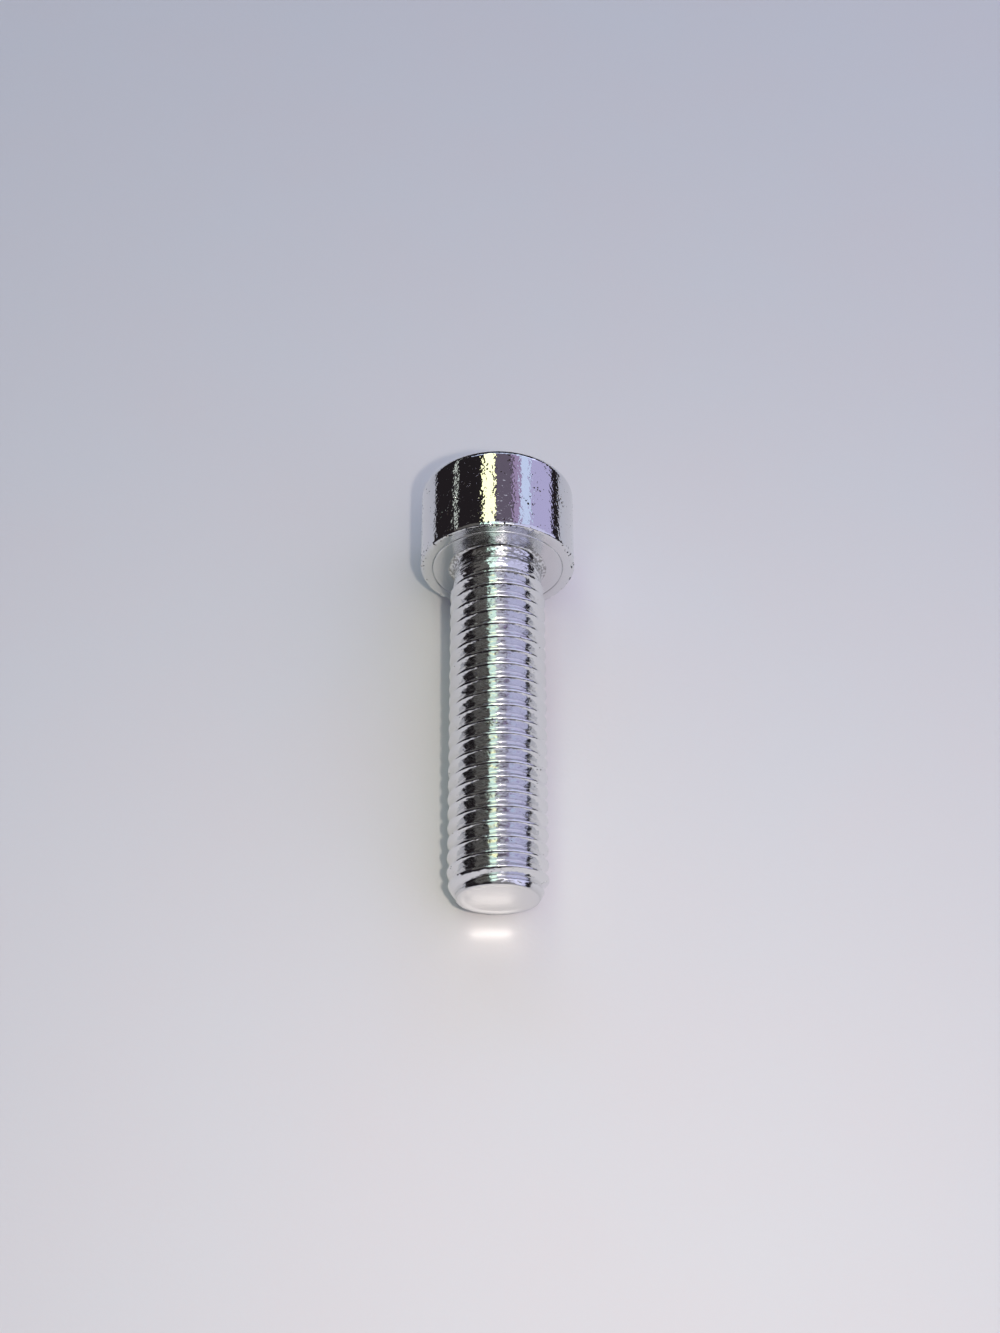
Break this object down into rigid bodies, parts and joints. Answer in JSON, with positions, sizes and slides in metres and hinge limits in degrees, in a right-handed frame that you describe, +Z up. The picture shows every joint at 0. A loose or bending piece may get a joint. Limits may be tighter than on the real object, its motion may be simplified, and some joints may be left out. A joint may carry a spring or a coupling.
{
  "type": "socket head cap screw",
  "caption": "Hexagon socket head cap screw with a plain round head and a fully threaded shank, lying on its side as it comes to rest.",
  "frame": {"origin": "on the resting surface, under the middle of the screw's bounding box", "axes": "+Z up from the resting surface; the screw lies along Y with its tip towards -Y and its head towards +Y, and its own axis slopes down towards the tip by 4.93 degrees"},
  "size_m": [0.013, 0.0384, 0.0135],
  "materials": {
    "plated_steel": "bright plating with a fine orange-peel mottle"
  },
  "bodies": {
    "root": {"cap_screw": "plated_steel"}
  },
  "joints": []
}
